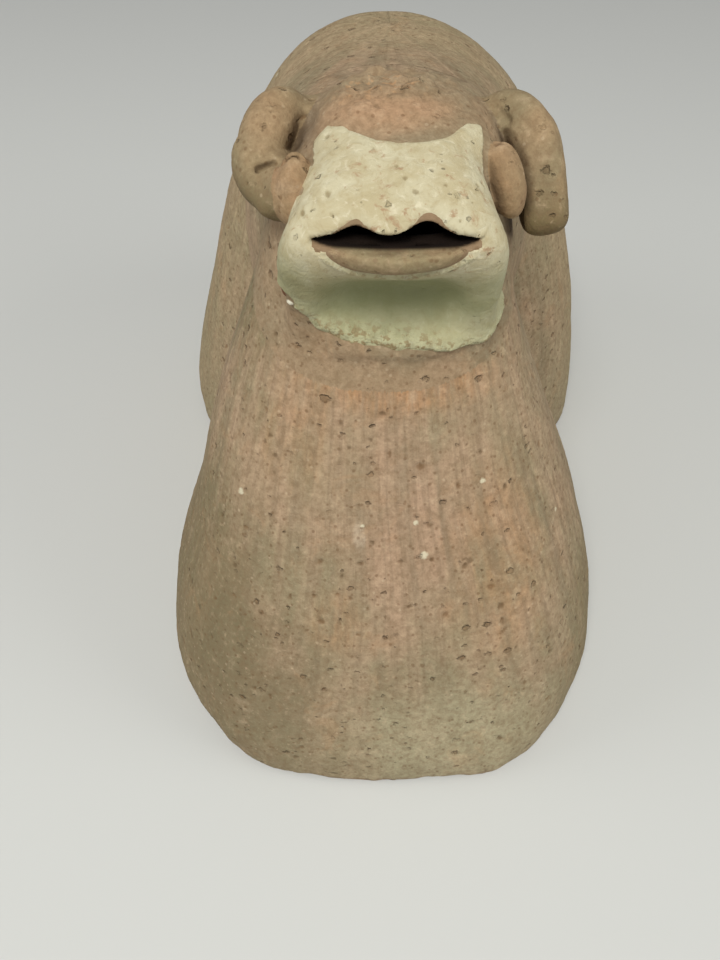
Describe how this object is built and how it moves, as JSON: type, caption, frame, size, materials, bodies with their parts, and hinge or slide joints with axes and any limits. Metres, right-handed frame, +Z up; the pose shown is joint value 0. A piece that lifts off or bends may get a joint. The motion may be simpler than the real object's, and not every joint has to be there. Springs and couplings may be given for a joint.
{
  "type": "clay ram figurine",
  "caption": "Hand-built hollow clay ram with a bell-shaped chest and rump, a bridging back, curled horns, leaf ears, an open mouth and a cream slip muzzle.",
  "frame": {"origin": "on the surface it stands on, under the middle of the whole figure's box", "axes": "+Z up; the ram faces -Y; +X is the ram's own left, which is on the right of the picture"},
  "size_m": [0.1436, 0.2288, 0.1501],
  "materials": {
    "body_clay": "unglazed low-fired earthenware, grey-brown with pink and orange clouds, wiped and pitted",
    "head_clay": "unglazed low-fired earthenware, finger smeared and rough",
    "lip_clay": "unglazed low-fired earthenware, bare",
    "horn_clay": "unglazed low-fired earthenware, rolled and pressed by finger",
    "cream_slip": "thick cream slip, dry and crusty at its edges"
  },
  "bodies": {
    "root": {"chest_bell": "body_clay", "rump_bell": "body_clay", "back_saddle": "body_clay", "head_shell": "head_clay", "crown_patch": "head_clay", "lower_lip": "lip_clay", "horn_right": "horn_clay", "horn_left": "horn_clay", "ear_right": "head_clay", "ear_left": "head_clay", "tail": "body_clay", "muzzle_slip_coat": "cream_slip"}
  },
  "joints": []
}
